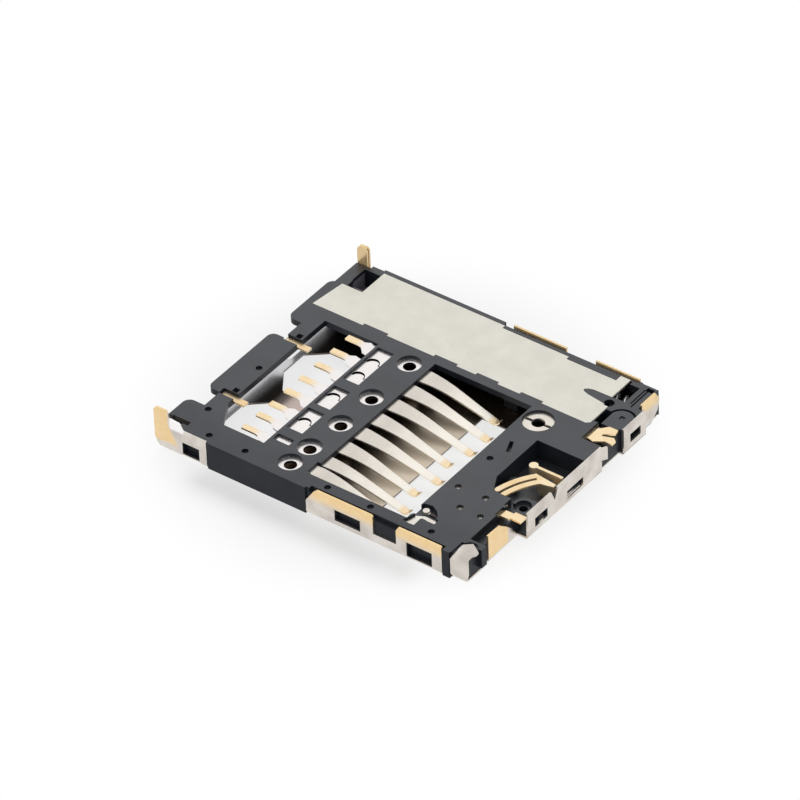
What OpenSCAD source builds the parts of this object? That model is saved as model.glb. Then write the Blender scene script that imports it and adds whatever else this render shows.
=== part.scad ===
// Push-in, push-out socket for a full-size memory card, lying on its cover with the soldering side up.
// X is the way the card goes in, Y runs across, Z runs up from the cover to the soldering side.
// The origin is on the cover's outer face, under the roots of the contact arms, half way across.

/* [Card] */
// Width of the card
card_w = 24; // [23.8:0.1:24.2]
// Thickness of the card
card_t = 2.1; // [2.0:0.05:2.2]
// Room left at each side of the card
card_side_room = 0.1; // [0.05:0.05:0.15]
// Room left over the card
card_top_room = 0.05; // [0.03:0.01:0.08]

/* [Housing] */
// Height from the cover's outer face to the soldering face
housing_h = 3; // [2.95:0.05:3.3]
// Length of the bar at the card's entry
entry_bar_l = 3.3; // [3.1:0.1:3.8]
// Length of the window over the solder tails
tail_window_l = 6.2; // [5.9:0.1:7]
// Length of the bar that holds the contacts
contact_bar_l = 6.1; // [6.0:0.1:6.6]
// Length of the window over the contact arms
arm_window_l = 11; // [10.8:0.1:11.6]
// Length of the bar behind the contact tips
rear_bar_l = 3.3; // [3.2:0.1:3.8]
// Length of the switch pocket behind that bar
pocket_l = 5.3; // [5.2:0.1:5.8]
// Thickness of the rail along the card's near edge
near_rail_t = 0.65; // [0.6:0.05:0.75]
// Thickness of the rail along the ejector channel
far_rail_t = 0.65; // [0.6:0.05:0.75]
// Width of the ejector channel beside the card
channel_w = 4.4; // [4.3:0.1:4.9]

/* [Cover] */
// Thickness of the cover sheet
cover_t = 0.2; // [0.15:0.01:0.22]
// Outer radius of the cover's folds
fold_r = 0.35; // [0.3:0.01:0.4]
// Height of the near entry leg
near_leg_h = 4.65; // [4.2:0.05:5]
// Height of the far entry leg
far_leg_h = 5.1; // [4.5:0.05:5.4]
// Height of the solder tabs
tab_h = 3.25; // [3.1:0.05:3.5]

/* [Contacts] */
// Pitch of the first contacts
contact_pitch = 2.5; // [2.45:0.05:2.55]
// Pitch of the last two contacts
last_pitch = 1.7; // [1.65:0.05:1.75]
// Thickness of the contact sheet
contact_t = 0.2; // [0.15:0.01:0.2]
// Depth of the embedded strips below the soldering face
strip_depth = 0.25; // [0.2:0.01:0.28]
// Width of an arm at its root
arm_root_w = 1.75; // [1.6:0.05:1.85]
// Width of an arm at its tip
arm_tip_w = 0.8; // [0.7:0.05:0.9]
// Reach of the long arms to the contact point
long_reach = 9; // [8.8:0.1:9.4]
// How much further back the short arms touch
short_step = 0.8; // [0.5:0.1:1]
// Height of the free contact points over the cover's outer face
tip_z = 0.95; // [0.8:0.05:1.2]
// Length of the solder tails
tail_l = 3; // [2.6:0.1:3.2]
// Width of the solder tails
tail_w = 0.64; // [0.56:0.01:0.75]
// How far the tails stand over the soldering face
tail_proud = 0.1; // [0.05:0.01:0.15]

/* [Ejector] */
// Travel of the slider from card out to card fully in
eject_travel = 5.5; // [5:0.1:5.5]
// Running gap round the slider
slide_gap = 0.08; // [0.05:0.01:0.1]
// Diameter of the cam wire
rod_d = 0.45; // [0.4:0.01:0.46]
// Distance between the two hooks of the cam wire
rod_l = 9.6; // [9.4:0.1:9.8]
// Side step of the cam wire over the travel
cam_step = 0.6; // [0.5:0.05:0.65]
// Outer diameter of the ejector spring
spring_od = 1.6; // [1.4:0.05:1.65]
// Wire diameter of the ejector spring
spring_wire = 0.3; // [0.2:0.01:0.32]
// Number of turns of the ejector spring
spring_turns = 18; // [14:1:22]

/* [Steel plate] */
// Thickness of the plate over the ejector channel
plate_t = 0.2; // [0.15:0.01:0.22]
// Width of the plate
plate_w = 7.4; // [7.2:0.1:7.5]

/* [Hidden] */
$fn = 48;

black = [0.20, 0.21, 0.23];
steel = [0.78, 0.76, 0.73];
cream = [0.86, 0.85, 0.81];
gold = [0.93, 0.80, 0.52];
dark = [0.30, 0.31, 0.33];

// A cut runs this far past the face that it opens
past = 1;
// Seated pieces keep this clearance in their seats
seat = 0.01;

// Places along X, from the entry to the rear
bar_x = -contact_bar_l;
window_x = bar_x - tail_window_l;
entry_x = window_x - entry_bar_l;
rear_bar_x = arm_window_l;
pocket_x = rear_bar_x + rear_bar_l;
rear_x = pocket_x + pocket_l;
top_x1 = rear_x - 2.1;

// Places across Y and up Z
overall_w = near_rail_t + card_w + 2 * card_side_room + channel_w + far_rail_t;
half_w = overall_w / 2;
inner_w = half_w - cover_t;
slot_near_y = -half_w + near_rail_t;
slot_far_y = slot_near_y + card_w + 2 * card_side_room;
// Places across the card count from this line, which keeps its distance to the card's near edge
line_y = slot_near_y + 14.3;
channel_far_y = half_w - far_rail_t;
ceiling_z = cover_t + card_t + card_top_room;
strip_z = housing_h - strip_depth;
plate_z = housing_h - plate_t;
plate_far_y = channel_far_y + 0.15;
plate_near_y = plate_far_y - plate_w;
deck_z = strip_z - contact_t - 0.35;
pocket_z = 0.9;
over = housing_h + past;

// Outer faces of the cover's rear walls and rear solder tabs
wall_x = rear_x + 0.15;
corner_x = wall_x + 0.25;
near_tab_x = wall_x - 1.05;
far_tab_x = wall_x - 0.25;
wall_y = [line_y - 6.6, line_y + 4.95];
corner_y = [slot_far_y - 1.8, slot_far_y + 1.7];
near_tab_y = [line_y - 11.2, line_y - 6.8];
far_tab_y = [slot_far_y + 1.8, half_w - 0.45];
near_wall_x = [[entry_x - 0.9, window_x + 1.8], [0.9, top_x1 - 1.3], [top_x1 - 0.35, rear_x - 0.5]];
far_wall_x = [[entry_x + 0.4, window_x - 0.2], [1.85, top_x1 - 0.4]];

// A block between low and high corners
module block(x, y, z) {
    translate([x[0], y[0], z[0]]) cube([x[1] - x[0], y[1] - y[0], z[1] - z[0]]);
}

// A slab with a drawn outline
module slab(points, z) {
    translate([0, 0, z[0]]) linear_extrude(z[1] - z[0]) polygon(points);
}

// An upright cylinder from one height to another
module post(at, r, z) {
    translate([at[0], at[1], z[0]]) cylinder(r = r, h = z[1] - z[0]);
}

// A block with four rounded upright edges
module round_block(x, y, z, r) {
    block([x[0] + r, x[1] - r], y, z);
    block(x, [y[0] + r, y[1] - r], z);
    for (cx = [x[0] + r, x[1] - r], cy = [y[0] + r, y[1] - r]) post([cx, cy], r, z);
}

// A plate drawn in X and Z that stands along Y
module upright_along_y(points, y) {
    translate([0, y[1], 0]) rotate([90, 0, 0]) linear_extrude(y[1] - y[0]) polygon(points);
}

// A plate drawn in Y and Z that stands along X
module upright_along_x(points, x) {
    translate([x[0], 0, 0]) rotate([90, 0, 90]) linear_extrude(x[1] - x[0]) polygon(points);
}

// A closed strip outline of even thickness along a line of points
function thick(path, t) = concat(
    [for (p = path) [p[0], p[1] + t / 2]],
    [for (i = [len(path) - 1:-1:0]) [path[i][0], path[i][1] - t / 2]]);

// Contacts
contact_n = 8;
contact_y0 = line_y + 4.45;
last_root_w = last_pitch - 0.2;
tail_shift = [0.3, 0.45, 0.5, 0.6, 0.85, 1.05, 1.6, 1.15];
arm_is_short = [true, false, false, true, false, true, false, true];
function contact_y(i) = contact_y0 - contact_pitch * min(i, contact_n - 2)
    - (i > contact_n - 2 ? last_pitch : 0);
function tail_y(i) = contact_y(i) + tail_shift[i];
function reach(i) = long_reach - (arm_is_short[i] ? short_step : 0);
function root_w(i) = i < contact_n - 2 ? arm_root_w : last_root_w;
// Contacts that show through a round recess, with the recess centres
recess_r = 1.2;
recess_hole_r = 0.62;
recess_of = [0, -1, 1, -1, 2, -1, 3, 4];
recess_at = [[-2, line_y + 4.9], [-1.95, line_y - 1.05], [-2, line_y - 5.7], [-2.3, line_y - 10],
    [-2.45, line_y - 12.75]];
eye_r = recess_r + 0.15;
eye_drop = 0.12;
eye_z = [strip_z - contact_t - eye_drop, strip_z - eye_drop];
strip_half_w = 0.62;
tail_root_half_w = 0.75;
last_tail_root_half_w = 0.65;
ramp_l = 1.1;
tip_up = 0.35;
tip_l = 0.55;
// Inside the bar the strips widen until this much is left between neighbours
strip_room = 0.12;
strip_step = [-0.375, -0.275, 0, 0.675, 0.75, 0.675, 0.525];
end_strip_half_w = 0.95;
function between(i) = (tail_y(i) + tail_y(i + 1)) / 2 + strip_step[i];
function strip_low_y(i) = i < contact_n - 1 ? between(i) + strip_room / 2 : tail_y(i) - end_strip_half_w;
function strip_high_y(i) = i > 0 ? between(i - 1) - strip_room / 2 : tail_y(i) + end_strip_half_w;
// The arm's slope grows over this share of its length, then stays even
arm_bend_share = 0.5;
arm_bend_steps = 8;
arm_x0 = 0.3;
function arm_fall(s) = s < arm_bend_share ? s * s / (2 * arm_bend_share) : s - arm_bend_share / 2;
function arm_place(i, s) =
    let (end = reach(i) - 0.45, high = strip_z - contact_t / 2)
    [arm_x0 + s * (end - arm_x0), high - (high - tip_z - 0.1) * arm_fall(s) / arm_fall(1)];
// Half width of an arm along its length
arm_taper_steps = 7;
function arm_half_w(i, s) = arm_tip_w / 2 + (root_w(i) - arm_tip_w) / 2 * pow(1 - s, 1.35);

// Outline of a contact seen from above, from the solder tail to the tip
module contact_plan(i, grow) {
    yt = tail_y(i);
    ya = contact_y(i);
    rt = (i < contact_n - 2 ? tail_root_half_w : last_tail_root_half_w) + grow;
    ra = root_w(i) / 2 + grow;
    ym = recess_of[i] < 0 ? ya : recess_at[recess_of[i]][1] * 0.4 + ya * 0.6;
    rm = strip_half_w + grow;
    low = strip_low_y(i) - grow;
    high = strip_high_y(i) + grow;
    step_low = bar_x + (low > yt - rt ? 0.1 : 0.2);
    step_high = bar_x + (high < yt + rt ? 0.1 : 0.2);
    tail_end = bar_x - tail_l;
    tip_end = reach(i) + tip_l;
    taper = [for (k = [0:arm_taper_steps]) let (s = k / arm_taper_steps)
        [0.4 + s * (tip_end - 1.1), arm_half_w(i, s) + grow]];
    polygon(concat(
        [[tail_end, yt - tail_w / 2], [bar_x - 1.2, yt - tail_w / 2], [bar_x - 0.75, yt - rt],
            [step_low, yt - rt], [step_low, low], [bar_x + 2.15 + grow, low], [bar_x + 2.9, ym - rm],
            [-0.9 - grow, ym - rm], [-0.6 - grow, ya - ra]],
        [for (p = taper) [p[0], ya - p[1]]],
        [[tip_end, ya - arm_tip_w * 0.3], [tip_end, ya + arm_tip_w * 0.3]],
        [for (k = [arm_taper_steps:-1:0]) [taper[k][0], ya + taper[k][1]]],
        [[-0.6 - grow, ya + ra], [-0.9 - grow, ym + rm], [bar_x + 2.9, ym + rm], [bar_x + 2.15 + grow, high],
            [step_high, high], [step_high, yt + rt], [bar_x - 0.75, yt + rt],
            [bar_x - 1.2, yt + tail_w / 2], [tail_end, yt + tail_w / 2]]));
}

// Side view of a contact, from the solder tail to the turned-up tip
function contact_path(i) = concat(
    [[bar_x - tail_l, housing_h + tail_proud - contact_t / 2],
        [bar_x - 0.4 - ramp_l, housing_h + tail_proud - contact_t / 2],
        [bar_x - 0.4, strip_z - contact_t / 2]],
    [for (k = [0:arm_bend_steps]) arm_place(i, arm_bend_share * k / arm_bend_steps)],
    [arm_place(i, 1), [reach(i) - 0.12, tip_z], [reach(i) + 0.12, tip_z], [reach(i) + 0.35, tip_z + 0.12],
        [reach(i) + tip_l, tip_z + tip_up]]);

module contact(i) {
    color(gold)
    difference() {
        union() {
            intersection() {
                translate([0, 0, -past]) linear_extrude(housing_h + 3 * past) contact_plan(i, 0);
                upright_along_y(thick(contact_path(i), contact_t), [-half_w, half_w]);
            }
            if (recess_of[i] >= 0) post(recess_at[recess_of[i]], eye_r, eye_z);
            if (i > 0 && has_arch[i - 1]) arch_end(arch_at(i - 1));
        }
        if (recess_of[i] >= 0) {
            post(recess_at[recess_of[i]], recess_hole_r, [0, housing_h]);
            post(recess_at[recess_of[i]], recess_r, [eye_z[1], over]);
        }
        if (i < contact_n - 1 && has_arch[i]) post(arch_at(i), arch_r, [0, over]);
    }
}

// Gaps between two strips where the lower strip ends in an arch and leaves a half-moon opening
has_arch = [true, true, false, true, false, true, false];
arch_r = 0.72;
arch_shift = [0.22, -0.28];
function arch_at(i) = [bar_x + 1.05, between(i)];
module arch_end(p) {
    intersection() {
        post(p, arch_r - 0.08, strip_span);
        post(p + arch_shift, arch_r, strip_span);
    }
}

// The space that an embedded contact takes in the housing
module contact_seat(i) {
    z = [strip_z - contact_t - seat, strip_z + seat];
    intersection() {
        translate([0, 0, z[0]]) linear_extrude(z[1] - z[0]) contact_plan(i, seat);
        block([bar_x - past, past], [-half_w, half_w], [0, housing_h]);
    }
    if (recess_of[i] >= 0) post(recess_at[recess_of[i]], eye_r + seat, [eye_z[0] - seat, eye_z[1] + seat]);
}

// Ejector places
channel_x = [window_x + 2.6, pocket_x + 2.3];
spring_y = channel_far_y - spring_od / 2 - 0.2;
spring_z = cover_t + 0.1 + spring_od / 2;
spring_near_y = spring_y - spring_od / 2 - 0.12;
head_x = [pocket_x - 1.9 - eject_travel, pocket_x - 0.4 - eject_travel];
spring_x = [head_x[0] - 4.5, top_x1 + 0.2];
rod_pivot = [channel_x[0] - 1.5, slot_far_y + 1.5];
rod_pin_x = rod_pivot[0] + rod_l;
rod_z = plate_z - 0.08 - rod_d / 2;
rod_hook_l = 1.1;
slider_top_z = rod_z - rod_d / 2 - 0.06;
slider_z0 = cover_t + slide_gap;
slider_y = [slot_far_y + slide_gap, channel_far_y - slide_gap];
slider_x0 = channel_x[0] + 0.15;
head_near_y = plate_near_y + 0.4;
groove_w = rod_d + 0.3;
groove_z = rod_z - rod_hook_l - 0.08;
catch_x = [-6, 1.6];
catch_t = 0.12;
catch_y = slider_y[0] + 0.35;
catch_z = [0.45, groove_z - 0.15];

// Terminals embedded at the rear
strip_span = [strip_z - contact_t, strip_z];
tail_span = [housing_h + tail_proud - contact_t, housing_h + tail_proud];
slit_ring_at = [rear_bar_x + 1.72, line_y + 4.83];
slit_ring_r = 1.48;
slit_half_w = 0.16;
slit_hole_r = 0.65;
twin_y = [line_y + 5.15, line_y + 7.75];
twin_x = [top_x1 - 0.1, rear_x + 0.75];

// A strip that leaves its seat and climbs to the soldering face
module climbing_strip(x, y) {
    low = strip_z - contact_t / 2;
    high = housing_h + tail_proud - contact_t / 2;
    path = [[x[0], low], [x[0] + 0.2, low], [x[0] + 0.7, high], [x[1], high]];
    upright_along_y(thick(path, contact_t), y);
}

module twin_tail_strip(grow) {
    z = [strip_span[0] - grow, strip_span[1] + grow];
    post(slit_ring_at, slit_ring_r + grow, z);
    x = [twin_x[0] - 2, twin_x[0] - 1.2, twin_x[0]];
    slab([[slit_ring_at[0], slit_ring_at[1] - 1.1 - grow], [x[0], slit_ring_at[1] - 1.1 - grow],
        [x[1], twin_y[0] - grow], [x[2], twin_y[0] - grow], [x[2], twin_y[1] + grow],
        [x[1], twin_y[1] + grow], [x[0], slit_ring_at[1] + 1.1 + grow],
        [slit_ring_at[0], slit_ring_at[1] + 1.1 + grow]], z);
}

// Outline of the two tails seen from above, counted from the rear edge and the card line
twin_plan = [[-2.3, 5.3], [-1.5, 5.25], [-1, 5.1], [-0.1, 5.7], [0.75, 5.7], [0.75, 6.3], [0.35, 6.6],
    [-0.75, 6.2], [-0.8, 6.45], [0.15, 7.1], [0.05, 7.7], [-0.9, 7.7], [-1.5, 7], [-2.3, 7]];

module twin_tail_terminal() {
    color(gold)
    difference() {
        union() {
            twin_tail_strip(0);
            intersection() {
                climbing_strip([twin_x[0] - 0.15, twin_x[1] + past],
                    [twin_y[0] - past, twin_y[1] + past]);
                translate([rear_x, line_y, 0]) slab(twin_plan, [0, over]);
            }
        }
        post(slit_ring_at, slit_hole_r, [0, over]);
        for (turn = [3, 183]) translate([slit_ring_at[0], slit_ring_at[1], 0]) rotate([0, 0, turn])
            block([0, slit_ring_r - 0.02], [-slit_half_w, slit_half_w], [0, over]);
    }
}

protect_tail_y = [line_y - 8.2, line_y - 7.3];
protect_pad_x = [rear_bar_x + 0.7, top_x1 - 0.2];
protect_pad_y = [line_y - 9.9, line_y - 6.3];
protect_limb_x = [rear_bar_x + 2.55, rear_bar_x + 3.9];
protect_limb_y = line_y - 12.6;
module protect_strip(grow) {
    z = [strip_span[0] - grow, strip_span[1] + grow];
    pad_x = [protect_pad_x[0] - grow, protect_pad_x[1] + grow];
    pad_y = [protect_pad_y[0] - grow, protect_pad_y[1] + grow];
    limb_x = [protect_limb_x[0] - grow, protect_limb_x[1] + grow];
    limb_y = protect_limb_y - grow;
    slab([[pad_x[0], pad_y[1]], [pad_x[1], pad_y[1]], [pad_x[1], pad_y[0]], [limb_x[1], pad_y[0]],
        [limb_x[1], limb_y], [limb_x[0], limb_y], [limb_x[0], pad_y[0]],
        [pad_x[0], protect_tail_y[0] + 0.2 - grow]], z);
}

module protect_blade() {
    color(gold) {
        protect_strip(0);
        climbing_strip([protect_pad_x[1] - 0.1, rear_x - 0.8], protect_tail_y);
        block([rear_x - 0.85, rear_x + 0.35], [protect_tail_y[0] + 0.2, protect_tail_y[1] + 0.25], tail_span);
        translate([protect_hole_at[0], protect_hole_at[1], 0])
            slab([[-1.05, -1.57], [-0.75, -0.76], [-0.65, -0.29], [0.18, 0.11], [1.6, 0.03], [1.6, -0.5],
                [0.86, -0.51], [0.24, -0.43], [0.05, -0.6], [0.07, -1.61], [-0.43, -1.65]], strip_span);
    }
}

protect_hole_at = [rear_bar_x + 1, line_y - 11.9];
protect_dot_at = protect_hole_at + [-0.25, 0.75];
protect_arm_l = 2.1;
protect_web_z = ceiling_z + 0.15;
protect_arm_z = [protect_web_z + 0.02, protect_web_z + 0.14];
module protect_arm(grow) {
    block([protect_dot_at[0], protect_dot_at[0] + protect_arm_l + grow],
        [protect_dot_at[1] - 0.15 - grow, protect_dot_at[1] + 0.15 + grow],
        [protect_arm_z[0] - grow, protect_arm_z[1] + grow]);
}

module protect_fixed_contact() {
    color(steel) {
        post(protect_dot_at, 0.33, [protect_arm_z[0], protect_arm_z[1] + 0.2]);
        protect_arm(0);
    }
}

// Switch blades in the pocket behind the rear bar
fixed_blade_y = [line_y - 0.62, line_y - 0.32];
fixed_blade_tip = [pocket_x + 1.7, line_y - 0.45];
blade_top_z = 2.85;
blade_foot_z = 0.5;
fork_c = [pocket_x + 8.94, line_y - 6.78];
fork_y = [line_y - 1.75, line_y - 1.5];
fork_x = [pocket_x + 2.9, rear_x - 0.35];
fork_slot_r = 7.755;
fork_slot_w = 0.3;
prong_w = 0.58;
// Directions of the prongs' roots, middles and ends from the centre of their curve
prong_turns = [138.6, 153, 167.6];
module fixed_blade_foot(grow) {
    block([rear_x - 1.35 - grow, rear_x - 0.35 + grow], [fixed_blade_y[0] - grow, fixed_blade_y[1] + grow],
        [blade_foot_z - grow, pocket_z + 0.5]);
}

module detect_fixed_blade() {
    color(gold) {
        fixed_blade_foot(0);
        block([rear_x - 1.35, rear_x - 0.35], fixed_blade_y, [pocket_z + 0.4, blade_top_z]);
        block([fixed_blade_tip[0], rear_x - 0.35], fixed_blade_y, [blade_top_z - 0.7, blade_top_z]);
        post(fixed_blade_tip, 0.44, [blade_top_z - 0.8, blade_top_z]);
    }
}

// One curved prong of the fork with its round end, seen from above
module fork_prong(side) {
    z = [blade_top_z - 0.3, blade_top_z - 0.1];
    r_mid = fork_slot_r + side * (fork_slot_w + prong_w) / 2;
    function spoke(turn, r) = fork_c + r * [cos(turn), sin(turn)];
    intersection() {
        difference() {
            post(fork_c, r_mid + prong_w / 2, z, $fn = 96);
            post(fork_c, r_mid - prong_w / 2, [0, over], $fn = 96);
        }
        slab(concat([fork_c], [for (turn = prong_turns) spoke(turn, 2 * fork_slot_r)]), [0, over]);
    }
    post(spoke(prong_turns[2], r_mid), prong_w / 2, z);
}

module fork_foot(grow) {
    block([fork_x[0] + 0.5 - grow, fork_x[1] + grow], [fork_y[0] - grow, fork_y[1] + grow],
        [blade_foot_z - grow, pocket_z + 0.5]);
}

module detect_fork_blade() {
    color(gold) {
        fork_foot(0);
        block(fork_x, fork_y, [pocket_z + 0.4, blade_top_z - 0.1]);
        slab([[fork_x[0] + 0.55, fork_y[0] - 0.5], [fork_x[1], fork_y[0] - 0.15], [fork_x[1], fork_y[1]],
            [fork_x[0] - 0.45, fork_y[1] + 0.3]], [blade_top_z - 0.3, blade_top_z - 0.1]);
        for (side = [-1, 1]) fork_prong(side);
    }
}

// Short anchors of the entry bar
anchor_far_y = line_y + 1.65;
anchor_near_y = line_y - 8.05;
anchor_z = [ceiling_z + 0.1, ceiling_z + 0.3];
module anchor(y, grow) {
    block([window_x - 1.6 - grow, window_x + 1.15], [y - 0.35 - grow, y + 0.35 + grow],
        [anchor_z[0] - grow, anchor_z[1] + grow]);
}

module entry_anchor(y) {
    color(gold) anchor(y, 0);
}

// Round marks of the mould pins: behind the arm window, along the near side and on the entry bar
rear_marks = [[1.25, -2.05], [1.25, -6.95], [4.25, -6.85], [3.1, -9.2], [5.4, -9.25], [3, -13.45]];
side_marks = [[2.55, 0.55], [7.4, 0.55], [-6.8, 0.45], [-10.9, 0.4]];
entry_marks = [[-1, -10.95], [-0.8, -3.5]];
pin_marks = concat([for (p = rear_marks) [rear_bar_x + p[0], line_y + p[1]]],
    [for (p = side_marks) [p[0], slot_near_y + p[1]]],
    [for (p = entry_marks) [window_x + p[0], line_y + p[1]]]);
pin_mark_r = 0.33;

// Windows over the strips in the contact bar, as spans across Y
strip_windows = [[-0.3, 5.2], [-4.7, -1.6], [-8.9, -5.5], [-10.95, -10.1]];

module housing_outline() {
    z = [cover_t, housing_h];
    body_x = window_x - 1.65;
    block([body_x, top_x1], [-inner_w, inner_w], z);
    // Lobes and tongue of the entry edge
    round_block([entry_x - 0.3, body_x + 1], [slot_near_y + 0.8, line_y - 10.65], z, 0.8);
    block([entry_x - 0.3, body_x], [slot_near_y + 0.8, slot_near_y + 1.8], z);
    block([entry_x + 2.2, body_x + 1], [-inner_w, slot_near_y + 1.3], z);
    round_block([entry_x + 0.2, body_x + 1], [line_y - 8.35, line_y + 1.45], z, 0.7);
    round_block([entry_x, body_x + 1], [line_y + 4.1, slot_far_y + 1.1], z, 0.8);
    block([entry_x + 0.45, body_x + 1], [slot_far_y + 0.1, half_w - 2], z);
    block([entry_x + 0.45, body_x + 0.1], [half_w - 2.1, half_w - 2 * hem_r - 0.06], z);
    // Flush stretches of the two long sides, and the near post at the rear
    block([window_x + 1.9, 0.85], [-half_w, -half_w + fold_r], [0, housing_h]);
    block([window_x + 0.1, 1.8], [half_w - fold_r, half_w], [0, housing_h]);
    block([near_wall_x[1][1] + 0.05, near_wall_x[2][0] - 0.1], [-half_w, -half_w + fold_r], [0, housing_h]);
    // Rear blocks behind the top face
    block([top_x1 - past, rear_x - 0.3], [-inner_w, slot_near_y + 2], z);
    block([top_x1 - past, near_tab_x - cover_t], [slot_near_y + 1.9, line_y - 6], [cover_t, deck_z]);
    block([top_x1 - past, wall_x - cover_t], [line_y - 6.5, line_y + 2.5], [cover_t, deck_z]);
    block([top_x1 - past, wall_x - cover_t], [line_y + 2.5, corner_y[0]], z);
    block([top_x1 - past, corner_x - cover_t], [corner_y[0] - 0.1, corner_y[1] - 0.2], z);
    block([top_x1 - past, far_tab_x - cover_t], [corner_y[1] - 0.3, inner_w - 0.1], z);
}

module housing() {
    color(black) {
        difference() {
            housing_outline();
            housing_windows();
            card_space();
            ejector_space();
            for (i = [0:contact_n - 1]) contact_seat(i);
            terminal_seats();
            top_recesses();
            rear_pockets();
            fold_reliefs();
            wall_window_pockets();
            corner_reliefs();
            for (i = [0:contact_n - 2])
                if (has_arch[i]) post(arch_at(i), arch_r, [strip_span[0] - seat, over]);
            plate_seat();
        }
        housing_details();
    }
}

// Windows that go through the roof
module housing_windows() {
    z = [-past, over];
    difference() {
        block([window_x, bar_x], [line_y - 11.95, line_y + 5.6], z);
        translate([window_x, line_y, 0])
            slab([[-1, -9.2], [0, -9.2], [1.1, -11.3], [1.4, -12.2], [-1, -12.2]], z);
    }
    block([0, rear_bar_x], [slot_near_y + 1.2, line_y + 6.2], z);
    block([-0.35, past], [line_y - 12.95, line_y - 11.35], z);
    // Open corner at the far leg
    block([window_x - 1.6, window_x + 0.3], [half_w - 2.95, half_w - 1], [0.9, over]);
    block([window_x - 1.5, window_x + 0.3], [half_w - 3.95, half_w - 2.75], [deck_z, over]);
    block([window_x - 1.65, window_x - 1.2], [half_w - 2 * hem_r, half_w], z);
}

// Room for the card
module card_space() {
    block([entry_x - past, pocket_x - 0.3], [slot_near_y, slot_far_y], [-past, ceiling_z]);
    block([rear_bar_x - 1, pocket_x - 0.1], [plate_near_y + 0.2, slot_far_y], [-past, ceiling_z]);
}

// Room for the slider, the spring and the cam wire
module ejector_space() {
    block(channel_x, [slot_far_y - past, channel_far_y], [-past, ceiling_z]);
    block(channel_x, [slot_far_y, channel_far_y], [0, over]);
    block([channel_x[1] - past, spring_x[1]], [spring_near_y, channel_far_y], [-past, deck_z]);
    block([rod_pivot[0] - 0.45, channel_x[0] + past], [rod_pivot[1] - 0.5, rod_pivot[1] + 1.3],
        [slider_top_z, over]);
    post(rod_pivot, rod_d / 2 + 0.03, [rod_z - rod_hook_l - 0.15, over]);
}

// Seats of the strips that the housing is moulded round
module terminal_seats() {
    twin_tail_strip(seat);
    protect_strip(seat);
    protect_arm(seat);
    fixed_blade_foot(seat);
    fork_foot(seat);
    for (y = [anchor_far_y, anchor_near_y]) {
        anchor(y, seat);
        // The notch over the anchor and the square hole beside it
        block([window_x - 1.7, window_x + past], [y - 0.4, y + 0.4], [anchor_z[1], over]);
        block([window_x - 0.85, window_x - 0.25], [y + 0.45, y + 1.05], [0, over]);
    }
    block([twin_x[0], rear_x + past], [twin_y[0] - 0.1, twin_y[1]], [strip_span[0] - seat, over]);
    block([protect_pad_x[1], rear_x + past], [protect_tail_y[0] - 0.05, protect_tail_y[1] + 0.3],
        [deck_z, over]);
}

// Shallow recesses in the soldering face
module top_recesses() {
    for (p = recess_at) {
        post(p, recess_r, [eye_z[1], over]);
        post(p, recess_hole_r, [0, over]);
    }
    for (p = pin_marks) post(p, pin_mark_r, [strip_z - 0.01, over]);
    for (w = strip_windows)
        block([bar_x + 0.3, bar_x + 2.1], [line_y + w[0], line_y + w[1]], [strip_z, over]);
    post(slit_ring_at, slit_ring_r + 0.05, [strip_z, over]);
    post(slit_ring_at, slit_hole_r, [0, over]);
    translate([rear_bar_x, line_y, 0])
        slab([[1.3, 1], [1.68, 1.08], [2.28, -0.32], [1.88, -0.48]], [ceiling_z + 0.15, over]);
    // Opening over the write-protect switch, and the channel of its blade
    translate([protect_hole_at[0], protect_hole_at[1], 0]) {
        slab([[-1.2, -0.75], [-1.2, 0.67], [-0.81, 1.31], [0, 1.43], [0.7, 1.07], [1.2, 0.53], [1.3, 0.08],
            [0.2, 0.16], [-0.7, -0.25]], [protect_web_z, over]);
        slab([[-1.13, -1.63], [-0.82, -0.76], [-0.72, -0.25], [0.18, 0.18], [1.6, 0.1], [1.6, -0.57],
            [0.86, -0.58], [0.3, -0.5], [0.12, -0.62], [0.14, -1.68], [-0.45, -1.73]],
            [strip_span[0] - seat, over]);
    }
    // Edge steps beside the cover's solder tabs
    block([1.2, top_x1 - 1.2], [-half_w, -inner_w + 0.4], [housing_h - 0.5, over]);
    block([1.8, top_x1 - 0.5], [inner_w - 0.25, half_w], [housing_h - 0.5, over]);
    block([entry_x + 0.2, entry_x + 2.2], [slot_near_y + 0.4, slot_near_y + 0.9], [housing_h - 0.6, over]);
}

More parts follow.
